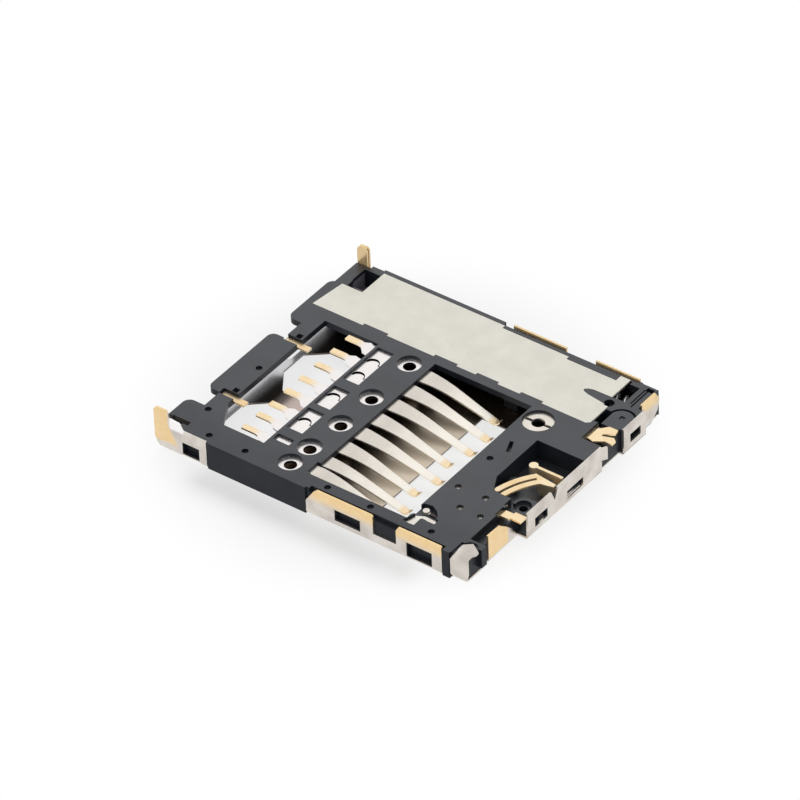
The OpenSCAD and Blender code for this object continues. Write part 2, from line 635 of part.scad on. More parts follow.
// Pockets of the rear blocks
pocket_arch_at = [top_x1 + 0.9, line_y - 5.4];
boss_at = [top_x1 + 1.35, slot_far_y - 0.6];
hook_x = near_wall_x[2];
module rear_pockets() {
    z = [pocket_z, over];
    block([pocket_x, rear_x - 0.35], [line_y - 3.9, line_y + 2.5], z);
    translate([pocket_x, line_y, 0]) slab([[0, -3.8], [0.9, -5.6], [2.9, -5.6], [2.9, -3.8]], z);
    block([top_x1 - 0.3, rear_x + past], [line_y - 6.7, line_y - 3.3], [deck_z, over]);
    post(pocket_arch_at, 0.42, [0.6, over]);
    block([top_x1, rear_x + past], [slot_near_y + 2, line_y - 6], [deck_z, over]);
    block([top_x1 + 0.05, top_x1 + 0.15], [line_y - 11.6, line_y - 8.2], [deck_z - 0.5, over]);
    // Rear end of the ejector channel
    block([top_x1 - 1.2, spring_x[1]], [slot_far_y + 1.6, channel_far_y - 0.4], [cover_t, over]);
    block([top_x1 - 0.8, spring_x[1]], [slot_far_y - 2.2, slot_far_y - 0.2], [0.8, over]);
    post(eye_at, eye_hole_r, [0.8, over]);
    // Round boss with its ring groove and square mark
    difference() {
        post(boss_at, 1.45, [housing_h - 0.3, over]);
        post(boss_at, 1.2, [0, over]);
        block([boss_at[0] - 2, boss_at[0] + 2], [boss_at[1] - 3, boss_at[1] - 0.2], [0, over]);
    }
    block([boss_at[0] - 0.25, boss_at[0] + 0.25], [boss_at[1] - 0.1, boss_at[1] + 0.4],
        [housing_h - 0.12, over]);
    // Lines beside the boss
    block([top_x1 + 0.7, top_x1 + 0.85], [slot_far_y + 1.7, channel_far_y - 0.3], [housing_h - 0.15, over]);
    block([top_x1 + 1, top_x1 + 1.15], [slot_far_y + 1.3, channel_far_y - 0.1], [housing_h - 0.2, over]);
    block([top_x1 + 0.8, top_x1 + 1.6], [channel_far_y - 0.4, channel_far_y + 0.1], [housing_h - 0.5, over]);
}

// Relief of the lower edges along the inside of the cover's folds
module fold_reliefs() {
    inside = fold_r - cover_t;
    z = [-past, cover_t + inside];
    for (x = near_wall_x) block(x, [-half_w - past, -inner_w + inside], z);
    for (x = far_wall_x) block(x, [inner_w - inside, half_w + past], z);
    block([wall_x - fold_r, wall_x + past], [wall_y[0] - 0.1, corner_y[0]], z);
    block([corner_x - fold_r, corner_x + past], corner_y, z);
    block([near_tab_x - fold_r, wall_x], near_tab_y, z);
    block([far_tab_x - fold_r, wall_x + past], far_tab_y, z);
}

// Pockets behind the windows of the cover's walls
module wall_window_pockets() {
    for (w = side_windows) block([w[0], w[1]], [-half_w - past, slot_near_y - 0.1], w[2]);
    for (w = far_windows) block([w[0], w[1]], [inner_w - 0.3, half_w + past], w[2]);
    for (w = rear_windows) block([wall_x - cover_t - 0.5, wall_x + past], [w[0], w[1]], w[2]);
    block([corner_x - cover_t - 0.5, corner_x + past], corner_window[0], corner_window[1]);
}

// Room for the corner hook, and the raised corner behind it
module corner_reliefs() {
    x = [hook_x[0], rear_x + past];
    z = [housing_h - 0.15, over];
    block(x, [-half_w - past, slot_near_y + 1.25], z);
    post([hook_x[0] + 1.05, slot_near_y + 0.95], 0.8, z);
    block(x, [-half_w - past, -inner_w + fold_r - cover_t], [housing_h + 0.1 - fold_r, over]);
    block([hook_x[0], hook_x[1] + 0.1], [-half_w - past, -half_w + hook_r], [-past, hook_r]);
    block([hook_x[1] - 0.45, x[1]], [-half_w - past, slot_near_y + 2.2], [-past, pocket_z]);
    block([rear_x - 0.75, x[1]], [-half_w - past, slot_near_y + 1.25], [-past, over]);
}

// Standing features: post, half arch, ledge beside the plate and the tongue in the plate's notch
module housing_details() {
    post([pocket_x + 0.8, line_y - 2.3], 0.5, [pocket_z - 0.1, 1.9]);
    difference() {
        post(pocket_arch_at, 1.05, [deck_z - 0.1, deck_z + 0.35]);
        post(pocket_arch_at, 0.78, [0, over]);
        block([pocket_arch_at[0] - 1.4, pocket_arch_at[0] + 1.6], [pocket_arch_at[1] - 1.6, pocket_arch_at[1] - 0.2], [0, over]);
    }
    for (s = plate_steps)
        block([s[0] + plate_gap, plate_x[1] - 1.1 - plate_gap],
            [plate_far_y - s[1] + plate_gap, channel_far_y + 0.1], [ceiling_z + 0.06, housing_h]);
    difference() {
        plate_notch(plate_gap, [ceiling_z + 0.15, housing_h]);
        post(eye_at, eye_hole_r, [0, over]);
    }
}

// The plate's outline, with notches for the humps of the moulding
humps = [[-9, -6.2], [-0.8, 1.8], [4, 6.5], [9, 11.5]];
plate_x = [entry_x + 0.75, top_x1 - 1.2];
plate_gap = 0.03;
// Steps of the plate's far edge: start along X, and depth
plate_steps = [[2, 0.4], [9.6, 0.8]];
// Eye of the moulding at the open end of the plate's rear notch
eye_at = [top_x1 - 0.9, slot_far_y + 0.7];
eye_hole_r = 0.5;
module plate_notch(grow, z) {
    translate([plate_x[1], slot_far_y, 0])
        slab([[0.7, 0.25 + grow], [-2.1, 0.65 + grow], [-2.7 + grow, 0.85 + grow], [-2.8 + grow, 1.1],
            [-2.5 + grow, 1.35 - grow], [-2, 1.5 - grow], [0.7, 1.55 - grow]], z);
}

module plate_outline(grow) {
    x = [plate_x[0] - grow, window_x + 0.3 - grow, plate_x[1] + grow, plate_x[1] + 0.5 + grow];
    y = [plate_near_y - grow, slot_far_y + 0.2, slot_far_y + 1.1 + grow, plate_far_y + grow];
    difference() {
        slab([[x[0], y[0]], [x[3] - 0.35, y[0]], [x[3], y[0] + 0.3], [x[3], y[1]], [x[2], y[1]],
            [x[2], y[3]], [x[1], y[3]], [x[1], y[2]], [x[0] + 0.5, y[2]]], [plate_z - grow, housing_h]);
        for (h = humps)
            block([h[0] + grow, h[1] - grow], [plate_near_y - 1, plate_near_y + 0.3 - grow], [0, over]);
        for (s = plate_steps)
            block([s[0] + grow, plate_x[1] - 1.1 - grow], [plate_far_y - s[1] + grow, plate_far_y + 1],
                [0, over]);
        plate_notch(grow, [0, over]);
    }
}

module plate_seat() {
    plate_outline(seat);
    translate([0, 0, 0.1]) plate_outline(seat);
}

module mechanism_plate() {
    color(cream) plate_outline(0);
}

// Cover shell
// Windows of the side walls: start, end and heights
side_windows = [[window_x - 1, window_x + 0.95, [0.4, 1.75]], [4.15, 7.05, [0.7, 1.95]],
    [rear_bar_x + 1.25, rear_bar_x + 4.1, [0.35, 1.95]]];
far_windows = [side_windows[1], side_windows[2]];
rear_windows = [[line_y - 5.5, line_y - 3.55, [0.75, 1.75]], [line_y - 0.5, line_y + 2, [0.65, 1.55]]];
corner_window = [[corner_y[0] + 1, corner_y[1] - 0.85], [0.9, 1.85]];
hook_r = 0.8;
cover_x0 = entry_x + 0.2;

// Section of a fold: a stub of the base, the bend and the wall
module fold_section(wall_h, r) {
    translate([r, 0]) square([0.3, cover_t]);
    translate([0, r]) square([cover_t, wall_h - r]);
    translate([r, r]) difference() {
        intersection() {
            circle(r = r);
            translate([-r, -r]) square(r);
        }
        circle(r = r - cover_t);
    }
}

// A folded wall along the near side
module near_wall(x, wall_h, r = fold_r) {
    translate([x[0], -half_w, 0]) rotate([90, 0, 90]) linear_extrude(x[1] - x[0]) fold_section(wall_h, r);
}

// A folded wall along the rear
module rear_wall(x_out, y, wall_h) {
    translate([x_out, y[1], 0]) rotate([90, 0, 0]) linear_extrude(y[1] - y[0])
        mirror([1, 0]) fold_section(wall_h, fold_r);
}

module cover_base() {
    z = [0, cover_t];
    edge = half_w - fold_r;
    far = [window_x - 0.85, window_x + 1.1, bar_x - 0.8];
    near = [window_x - 1, window_x + 1, bar_x - 0.8];
    difference() {
        union() {
            block([cover_x0, near_tab_x - fold_r], [-edge, edge], z);
            block([rear_bar_x, hook_x[1] - 0.4], [-edge, -edge + 2.3], z);
            block([rear_bar_x, wall_x - fold_r], [wall_y[0], corner_y[0]], z);
            block([rear_bar_x, corner_x - fold_r], corner_y, z);
            block([rear_bar_x, far_tab_x - fold_r], [corner_y[1] - 0.1, far_tab_y[1]], z);
        }
        // The corner hook springs from the base in a wide bend
        block([hook_x[0], hook_x[1] + past], [-half_w - past, -half_w + hook_r], [-past, past]);
        // Openings that show through the tail window
        translate([0, line_y, 0]) {
            slab([[far[0], 3.2], [far[1], 4.8], [far[2], 4.8], [far[2], -2.2], [far[1] - 0.3, -2.2],
                [far[0], 0.2]], [-past, past]);
            slab([[near[0], -5.8], [near[1], -4.1], [near[2], -4.1], [near[2], -11.9], [near[0], -11.9]],
                [-past, past]);
            // Opening under the contact points
            block([6.2, rear_bar_x - 1.1], [-13, 5], [-past, past]);
            // Notches of the entry edge
            round_block([cover_x0 - 1, entry_x + 1.9], [1.7, 3.9], [-past, past], 0.5);
            round_block([cover_x0 - 1, entry_x + 1.9], [-10.4, -8.6], [-past, past], 0.5);
        }
    }
}

// Outline of the near wall's stretches, seen along Y
module near_wall_shape() {
    y = [-half_w - past, -half_w + past];
    x = near_wall_x;
    leg_x = entry_x + 0.9;
    upright_along_y([[x[0][0] + 0.75, 0], [x[0][0] + 0.3, 0.5], [x[0][0], 1.2], [x[0][0], near_leg_h - 0.35],
        [x[0][0] + 0.3, near_leg_h], [leg_x - 0.35, near_leg_h], [leg_x - 0.1, near_leg_h - 0.3],
        [leg_x, housing_h + 0.85], [leg_x + 1.1, housing_h + 0.75], [leg_x + 1.5, housing_h + 0.05],
        [x[0][1], housing_h + 0.05], [x[0][1], 0]], y);
    upright_along_y([[x[1][0], 0], [x[1][0], 1.6], [1.9, tab_h - 0.2], [2.2, tab_h], [8.35, tab_h],
        [8.5, tab_h - 0.15], [8.5, 1.15], [11.1, 1.15], [11.1, tab_h - 0.5], [11.4, tab_h],
        [x[1][1] - 0.1, tab_h], [x[1][1], tab_h - 0.1], [x[1][1], 0]], y);
}

module window_cuts() {
    for (w = side_windows) block([w[0], w[1]], [-half_w - past, -half_w + past], w[2]);
}

// Near side: leg, solder tabs and the corner hook
module near_walls() {
    difference() {
        intersection() {
            near_wall([near_wall_x[0][0] - past, near_wall_x[1][1] + past], near_leg_h + past);
            near_wall_shape();
        }
        window_cuts();
    }
}

// Tab that wraps the near corner and folds over the soldering face
module corner_hook() {
    x = hook_x;
    top = housing_h + 0.1;
    half = top / 2 + 0.1;
    intersection() {
        union() {
            near_wall(x, half, hook_r);
            translate([0, 0, top]) mirror([0, 0, 1]) near_wall(x, half);
        }
        upright_along_y([[x[0], 0], [x[0], top - 0.75], [x[0] + 0.45, top], [x[1], top], [x[1], 1.2],
            [x[1] - 0.15, 0.7], [x[1] - 0.4, 0.4], [x[1] - 0.4, 0]], [-half_w, slot_near_y + past]);
    }
    y = slot_near_y;
    slab([[x[0] + 0.45, fold_r - half_w], [x[0] + 0.35, y + 0.2], [x[0] + 0.35, y + 0.9],
        [x[0] + 1.05, y + 1.5], [x[1] + 0.2, y + 0.8], [x[1] + 0.2, y + 0.4], [x[1], y + 0.1],
        [x[1], fold_r - half_w]], [top - cover_t, top]);
}

// Far side: hemmed leg and two solder tabs
far_leg_x = [entry_x + 0.5, entry_x + 1.65];
hem_r = 0.27;
module far_walls() {
    y = [-half_w - past, half_w];
    leg = far_leg_x;
    top = far_leg_h;
    mirror([0, 1, 0]) {
        intersection() {
            union() {
                near_wall(far_wall_x[0], top - hem_r);
                block(leg, [-half_w + 2 * hem_r - cover_t, -half_w + 2 * hem_r], [2.4, top - hem_r]);
                translate([leg[0], -half_w + hem_r, top - hem_r]) rotate([0, 90, 0]) difference() {
                    cylinder(r = hem_r, h = leg[1] - leg[0]);
                    translate([0, 0, -past]) cylinder(r = hem_r - cover_t, h = 4);
                    translate([0, -1, -past]) cube([1, 2, 4]);
                }
            }
            upright_along_y([[leg[0], 0], [leg[0], top - 0.4], [leg[0] + 0.3, top], [leg[1] - 0.3, top],
                [leg[1], top - 0.4], [leg[1], 2.2], [far_wall_x[0][1], 2.2], [far_wall_x[0][1], 0]], y);
        }
        difference() {
            intersection() {
                near_wall(far_wall_x[1], tab_h);
                upright_along_y([[far_wall_x[1][0], 0], [far_wall_x[1][0], 1.15], [2.8, 1.15],
                    [2.8, tab_h - 0.1], [8.8, tab_h - 0.1], [8.8, 1.15], [12.15, 1.15], [12.15, tab_h - 0.1],
                    [far_wall_x[1][1], tab_h - 0.1], [far_wall_x[1][1], 0]], y);
            }
            window_cuts();
        }
    }
}

// Rear side: three walls and the solder tabs of the corners
module rear_walls() {
    x = [near_tab_x - past, corner_x + past];
    near_y = near_tab_y[0];
    far_y = far_tab_y[1];
    difference() {
        rear_wall(wall_x, wall_y, housing_h);
        upright_along_x([[line_y - 2.95, housing_h + 0.1], [line_y - 2.4, 1.8],
            [line_y - 1.85, housing_h + 0.1]], x);
        for (w = rear_windows) block(x, [w[0], w[1]], w[2]);
    }
    // Tongue left in the second window, and the flared end of the wall
    block([wall_x - cover_t, wall_x], [rear_windows[1][0] - 0.1, rear_windows[1][1] - 0.5], [0.82, 0.95]);
    slab([[wall_x - cover_t, wall_y[1] - 0.2], [wall_x, wall_y[1] - 0.2], [wall_x + 0.35, wall_y[1] + 0.45],
        [wall_x + 0.15, wall_y[1] + 0.5]], [1.5, housing_h - 0.1]);
    difference() {
        rear_wall(corner_x, corner_y, housing_h);
        block(x, corner_window[0], corner_window[1]);
    }
    intersection() {
        rear_wall(near_tab_x, near_tab_y, housing_h + 0.1);
        upright_along_x([[near_y, 0], [near_y, housing_h + 0.1], [near_y + 1.9, housing_h],
            [near_y + 2.7, 2.4], [near_y + 3.5, 1.65], [near_y + 4.3, 0.5], [near_tab_y[1], 0]], x);
    }
    intersection() {
        rear_wall(far_tab_x, far_tab_y, tab_h);
        upright_along_x([[far_tab_y[0], 0], [far_tab_y[0], tab_h], [far_y - 0.6, tab_h], [far_y, 2.3],
            [far_y - 0.3, 1.2], [far_y - 1.6, 0]], x);
    }
}

module cover_shell() {
    color(steel) {
        cover_base();
        near_walls();
        corner_hook();
        far_walls();
        rear_walls();
    }
}

// A straight stretch of groove between two points
module groove_run(a, b) {
    d = b - a;
    post(a, groove_w / 2, [groove_z, over]);
    post(b, groove_w / 2, [groove_z, over]);
    translate([a[0], a[1], groove_z]) rotate([0, 0, atan2(d[1], d[0])]) translate([0, -groove_w / 2, 0])
        cube([norm(d), groove_w, 2]);
}

// Heart-shaped loop: out along one side, into the lock, and back along the other
module cam_groove() {
    start = [rod_pin_x, rod_pivot[1]];
    far_end = start + [-eject_travel, cam_step];
    lock = start + [-eject_travel + 1.2, -0.15];
    back = start + [-eject_travel + 0.3, -0.7];
    groove_run(start, far_end);
    groove_run(far_end, lock);
    groove_run(lock, back);
    groove_run(back, start);
}

module ejector_slider() {
    slot_z = [0, catch_z[1] + 0.05];
    color(dark) {
        difference() {
            union() {
                block([slider_x0, head_x[1]], slider_y, [slider_z0, slider_top_z]);
                block(head_x, [head_near_y, slider_y[1]], [slider_z0, ceiling_z - slide_gap]);
            }
            block([spring_x[0], rear_x], [spring_near_y, half_w], [-past, over]);
            cam_groove();
            // Slot that holds the catch, and room for the catch to spring in
            block([catch_x[0] - 0.05, catch_x[0] + 1.5], [catch_y, catch_y + catch_t + 2 * seat], slot_z);
            block([catch_x[0] + 1.4, catch_x[1] + 0.3], [slider_y[0] - past, slider_y[0] + 0.55], slot_z);
        }
        // Pin that centres the spring
        translate([spring_x[0] - 0.1, spring_y, spring_z]) rotate([0, 90, 0])
            cylinder(r = spring_od / 2 - spring_wire - 0.1, h = 1.3);
    }
}

// Bent steel leaf that grips the notch in the card's side
module card_catch() {
    y = catch_y + seat + catch_t / 2;
    x = catch_x;
    path = [[x[0], y], [x[0] + 1.6, y], [x[1] - 1.8, y - 0.2], [x[1] - 1.2, y - 0.85], [x[1] - 0.7, y - 0.85],
        [x[1] - 0.1, y - 0.2]];
    color(steel) slab(thick(path, catch_t), catch_z);
}

// Wire with both ends bent down
module cam_rod() {
    color(steel) {
        for (x = [rod_pivot[0], rod_pin_x]) {
            post([x, rod_pivot[1]], rod_d / 2, [rod_z - rod_hook_l, rod_z]);
            translate([x, rod_pivot[1], rod_z]) sphere(r = rod_d / 2);
        }
        translate([rod_pivot[0], rod_pivot[1], rod_z]) rotate([0, 90, 0]) cylinder(r = rod_d / 2, h = rod_l);
    }
}

// Coil swept as rings of points along a helix
spring_sides = 6;
spring_steps = 14;
module ejector_spring() {
    mean_r = (spring_od - spring_wire) / 2;
    wire_r = spring_wire / 2;
    n = spring_turns * spring_steps;
    length = spring_x[1] - spring_x[0] - spring_wire - 0.02;
    function ring(k) = [for (s = [0:spring_sides - 1])
        let (a = 360 * s / spring_sides, t = 360 * k / spring_steps, r = mean_r + wire_r * cos(a))
        [spring_x[0] + wire_r + 0.01 + length * k / n + wire_r * sin(a), spring_y + r * cos(t),
            spring_z + r * sin(t)]];
    points = [for (k = [0:n]) each ring(k)];
    sides = [for (k = [0:n - 1], s = [0:spring_sides - 1])
        let (a = k * spring_sides + s, b = k * spring_sides + (s + 1) % spring_sides)
        [a, b, b + spring_sides, a + spring_sides]];
    first = [for (s = [spring_sides - 1:-1:0]) s];
    last = [for (s = [0:spring_sides - 1]) n * spring_sides + s];
    color(steel) polyhedron(points, concat(sides, [first, last]), convexity = 8);
}

housing();
cover_shell();
mechanism_plate();
contact(0);  // contact_1
contact(1);  // contact_2
contact(2);  // contact_3
contact(3);  // contact_4
contact(4);  // contact_5
contact(5);  // contact_6
contact(6);  // contact_7
contact(7);  // contact_8
detect_fork_blade();
detect_fixed_blade();
twin_tail_terminal();
protect_blade();
protect_fixed_contact();
entry_anchor(anchor_far_y);  // entry_anchor_far
entry_anchor(anchor_near_y);  // entry_anchor_near
ejector_slider();
card_catch();
cam_rod();
ejector_spring();
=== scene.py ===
"""Looks of the memory card connector: materials, a finer spring, camera, light and floor."""
import math

import bmesh
import bpy
from mathutils import Matrix, Vector


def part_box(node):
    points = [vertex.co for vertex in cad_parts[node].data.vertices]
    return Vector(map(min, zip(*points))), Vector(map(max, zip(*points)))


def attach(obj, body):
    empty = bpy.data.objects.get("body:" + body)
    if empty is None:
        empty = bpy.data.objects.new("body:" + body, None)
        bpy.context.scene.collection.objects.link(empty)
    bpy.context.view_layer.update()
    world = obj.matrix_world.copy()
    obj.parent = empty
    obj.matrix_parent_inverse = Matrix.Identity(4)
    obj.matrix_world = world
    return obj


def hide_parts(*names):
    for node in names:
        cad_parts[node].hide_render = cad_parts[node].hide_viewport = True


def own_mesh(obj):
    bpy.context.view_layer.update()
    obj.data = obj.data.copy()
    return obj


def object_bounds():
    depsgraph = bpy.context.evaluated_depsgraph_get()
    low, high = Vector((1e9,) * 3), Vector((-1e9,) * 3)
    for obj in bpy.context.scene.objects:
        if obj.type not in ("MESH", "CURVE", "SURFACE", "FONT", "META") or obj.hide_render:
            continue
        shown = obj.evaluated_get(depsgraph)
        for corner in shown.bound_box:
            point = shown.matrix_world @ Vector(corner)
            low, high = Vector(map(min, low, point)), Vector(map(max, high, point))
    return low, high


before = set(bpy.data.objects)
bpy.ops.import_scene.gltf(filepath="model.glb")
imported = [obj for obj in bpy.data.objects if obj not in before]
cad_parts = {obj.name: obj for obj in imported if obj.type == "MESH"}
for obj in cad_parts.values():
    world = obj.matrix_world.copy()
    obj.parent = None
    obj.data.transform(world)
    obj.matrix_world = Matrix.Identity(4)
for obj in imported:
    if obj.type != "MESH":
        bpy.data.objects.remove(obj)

cad_low, cad_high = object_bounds()
MM = 0.001

# Measures of the solids, in millimetres; an arm's reach is where its tip ends on the X axis
CONTACTS = [f"contact_{i}" for i in range(1, 9)]
LONG_REACH = 9.0
SHORT_REACH = 8.2
SHORT_ARMS = (1, 4, 6, 8)
TAIL_ROOT_X = -7.2
SPRING_WIRE = 0.3

# Places that get a colour of their own, some of it painted light or painted shade, as spans in millimetres;
# soft is how far their edges fade
LIT_CORNER_FLOOR = {"x": (-14.0, -11.9), "y": (11.9, 13.9), "z": (0.8, 2.6), "soft": 0.05}
SHADED_ARM_ROOTS = {"x": (0, 2.2), "soft": 1.8}
STRIPS = {"x": (-8, -0.3), "soft": 0.3}
SHADED_STRIP_SIDES = {"x": (-6.1, -0.3), "soft": 0.05}
SHADED_FIXED_CONTACT_ARM = {"x": (12.15, 16), "soft": 0.08}
PROTECT_TAIL = {"x": (16.9, 25)}
TWIN_TAILS = {"x": (16.2, 25)}
REAR_WALL = {"x": (19.3, 21), "y": (-6.75, 11.65)}
HOOK_CORNER = {"x": (17.05, 21), "y": (-16, -12.2)}
WALL_BY_NEAR_LEG = {"x": (-14.9, -10), "y": (-16, -14)}
NEAR_LEG = {"y": (-16, -14), "z": (1.0, 9), "soft": 0.3}
LEG_FRONTS = {"x": (-18, -15.4), "z": (0.9, 9)}
REAR_STEP_TAB = {"x": (18, 19.2), "y": (-11.2, -8.2), "z": (0.4, 9)}
NEAR_LEG_EDGE_HIGHLIGHT = {"x": (-14.7, -13.1), "y": (-16, -14), "z": (2.75, 5)}
NEAR_WINDOW_LIP_HIGHLIGHT = {"x": (-13.4, -11.2), "y": (-16, -14), "z": (0.04, 0.28), "soft": 0.03}
FAR_WALL = {"y": (13.8, 16)}
COVER_INSIDE = {"y": (-14.3, 14.3), "z": (0.16, 0.3), "soft": 0.02}
SHADED_COVER_CUT_EDGES = {"x": (-15, 12), "y": (-14.3, 14.3), "z": (0.03, 0.16), "soft": 0.02}
LIT_ENTRY_WEB = {"x": (-11.2, -7), "y": (-4.6, -2.2), "soft": 0.4}
PAINTED_SHADOW_BY_NEAR_WALL = {"x": (-11, 14), "y": (-18.5, -15.5), "soft": 1.6}

# Rounding of edges in the shading, in millimetres
EDGE_RADIUS = 0.05
EDGE_SAMPLES = 4


# Node graphs
class Graph:
    """A material's node tree, with short calls to add and link nodes."""

    def __init__(self, name):
        self.material = bpy.data.materials.new(name)
        self.material.use_nodes = True
        self.tree = self.material.node_tree
        self.tree.nodes.clear()
        self.output = self.tree.nodes.new("ShaderNodeOutputMaterial")
        self.shader = self.tree.nodes.new("ShaderNodeBsdfPrincipled")
        self.join(self.shader.outputs["BSDF"], self.output.inputs["Surface"])

    def join(self, source, target):
        self.tree.links.new(source, target)

    def put(self, target, value):
        """Links a socket, or sets a constant on the target."""
        if isinstance(value, bpy.types.NodeSocket):
            self.join(value, target)
        else:
            target.default_value = value

    def position(self):
        return self.tree.nodes.new("ShaderNodeTexCoord").outputs["Object"]

    def upright(self):
        """1 on faces that stand upright, 0 on faces that lie flat."""
        split = self.tree.nodes.new("ShaderNodeSeparateXYZ")
        self.join(self.tree.nodes.new("ShaderNodeTexCoord").outputs["Normal"], split.inputs[0])
        flat_from = 0.3
        return self.math("LESS_THAN", self.math("ABSOLUTE", split.outputs["Z"]), flat_from)

    def axis(self, letter):
        """One coordinate of the place on the object, in metres."""
        split = self.tree.nodes.new("ShaderNodeSeparateXYZ")
        self.join(self.position(), split.inputs[0])
        return split.outputs[letter]

    def math(self, kind, a, b=0.0):
        step = self.tree.nodes.new("ShaderNodeMath")
        step.operation = kind
        self.put(step.inputs[0], a)
        self.put(step.inputs[1], b)
        return step.outputs[0]

    def times(self, a, b):
        return self.math("MULTIPLY", a, b)

    def most(self, mask, *others):
        """The largest of some masks."""
        for other in others:
            mask = self.math("MAXIMUM", mask, other)
        return mask

    def ramp(self, value, low, high):
        """0 below low, 1 above high, smooth between."""
        step = self.tree.nodes.new("ShaderNodeMapRange")
        step.interpolation_type = "SMOOTHSTEP"
        self.put(step.inputs["Value"], value)
        step.inputs["From Min"].default_value = low
        step.inputs["From Max"].default_value = high
        return step.outputs["Result"]

    def along(self, letter, low, high):
        """0 to 1 between two places along X, Y or Z, in millimetres."""
        return self.ramp(self.axis(letter), low * MM, high * MM)

    def span(self, value, low, high):
        """Maps 0..1 to low..high."""
        step = self.tree.nodes.new("ShaderNodeMapRange")
        self.put(step.inputs["Value"], value)
        step.inputs["To Min"].default_value = low
        step.inputs["To Max"].default_value = high
        return step.outputs["Result"]

    def inside(self, soft=0.15, **spans):
        """1 inside spans of X, Y or Z in millimetres, 0 outside."""
        mask = 1.0
        for letter, (low, high) in spans.items():
            mask = self.times(mask, self.along(letter.upper(), low - soft, low + soft))
            mask = self.times(mask, self.along(letter.upper(), high + soft, high - soft))
        return mask

    def noise(self, size, detail=3.0, stretch=(1, 1, 1)):
        """Noise with features of a size in millimetres, stretched along X, Y or Z."""
        place = self.tree.nodes.new("ShaderNodeMapping")
        place.vector_type = "POINT"
        place.inputs["Scale"].default_value = tuple(1 / (size * MM * s) for s in stretch)
        self.join(self.position(), place.inputs["Vector"])
        cloud = self.tree.nodes.new("ShaderNodeTexNoise")
        cloud.inputs["Scale"].default_value = 1.0
        cloud.inputs["Detail"].default_value = detail
        self.join(place.outputs["Vector"], cloud.inputs["Vector"])
        return cloud.outputs["Fac"]

    def mix(self, share, a, b):
        blend = self.tree.nodes.new("ShaderNodeMix")
        blend.data_type = "RGBA"
        self.put(blend.inputs["Factor"], share)
        self.put(blend.inputs["A"], a)
        self.put(blend.inputs["B"], b)
        return blend.outputs["Result"]

    def recolour(self, mask, colour):
        """Lays a colour over the base colour where the mask is 1."""
        base = self.shader.inputs["Base Color"]
        plain = base.links[0].from_socket
        self.put(base, self.mix(mask, plain, colour))

    def bump(self, height, depth):
        """Bump of a depth in millimetres, on edges rounded by a small radius."""
        rounded = self.tree.nodes.new("ShaderNodeBevel")
        rounded.samples = EDGE_SAMPLES
        rounded.inputs["Radius"].default_value = EDGE_RADIUS * MM
        rough = self.tree.nodes.new("ShaderNodeBump")
        rough.inputs["Strength"].default_value = 1.0
        rough.inputs["Distance"].default_value = depth * MM
        self.join(height, rough.inputs["Height"])
        self.join(rounded.outputs["Normal"], rough.inputs["Normal"])
        self.join(rough.outputs["Normal"], self.shader.inputs["Normal"])


# Colours
def rgb(red, green, blue):
    """Linear colour from 0..255 values as a screen shows them."""
    def linear(v):
        v = v / 255
        return v / 12.92 if v <= 0.04045 else ((v + 0.055) / 1.055) ** 2.4
    return (linear(red), linear(green), linear(blue), 1.0)


GOLD_LIGHT = rgb(255, 236, 200)
GOLD_DARK = rgb(244, 212, 162)
TAB_GOLD_LIGHT = rgb(255, 228, 180)
TAB_GOLD_DARK = rgb(244, 206, 146)
IVORY_LIGHT = rgb(240, 234, 224)
IVORY_DARK = rgb(226, 218, 207)
ARM_ROOT_SHADE = rgb(208, 201, 193)
STRIP_WHITE = rgb(246, 242, 240)
STRIP_SIDE_SHADE = rgb(40, 40, 44)
CREAM_HIGHLIGHT = rgb(255, 249, 238)
STEEL_LIGHT = rgb(226, 220, 212)
STEEL_DARK = rgb(200, 192, 184)
SHADE_DARK_METAL = rgb(74, 68, 66)
HIGHLIGHT_WHITE_METAL = rgb(255, 252, 252)
PLATE_LIGHT = rgb(232, 229, 219)
PLATE_DARK = rgb(224, 221, 211)
WIRE_LIGHT = rgb(255, 255, 253)
WIRE_DARK = rgb(236, 236, 234)
ENTRY_LIT_EDGE = rgb(206, 205, 207)
ENTRY_SHADE = rgb(82, 75, 70)
LIT_WEB_STEEL = rgb(196, 180, 172)
SHADED_INSIDE = rgb(70, 54, 38)
LIT_INSIDE = rgb(255, 240, 218)
HOUSING_LIGHT = rgb(42, 45, 52)
HOUSING_DARK = rgb(34, 37, 44)
SLIDER_LIGHT = rgb(54, 56, 62)
SLIDER_DARK = rgb(44, 46, 51)
LIT_CORNER_GREY = rgb(128, 125, 133)
WHITE = (1, 1, 1, 1)
FLOOR_GREY = (0.86, 0.86, 0.87, 1)


# Materials
def plastic(name, light, dark):
    """Satin moulding, duller on upright faces and at the near edge, with painted light on the recess floor in
    the open corner at the far leg.
    """
    g = Graph(name)
    cloud = g.noise(2.6, detail=4.0)
    g.put(g.shader.inputs["Base Color"], g.mix(g.ramp(cloud, 0.3, 0.7), dark, light))
    # Painted light: the floor of the open recess at the far leg is painted pale grey where light falls into it.
    g.recolour(g.inside(**LIT_CORNER_FLOOR), LIT_CORNER_GREY)
    speck = g.noise(0.09, detail=2.0)
    g.put(g.shader.inputs["Roughness"], g.span(speck, 0.3, 0.44))
    gloss = g.span(g.along("Y", -14.2, -9), 0.68, 0.85)
    gloss_on_walls = 0.22
    g.put(g.shader.inputs["Specular IOR Level"], g.times(gloss, g.span(g.upright(), 1.0, gloss_on_walls)))
    g.bump(speck, depth=0.003)
    return g.material


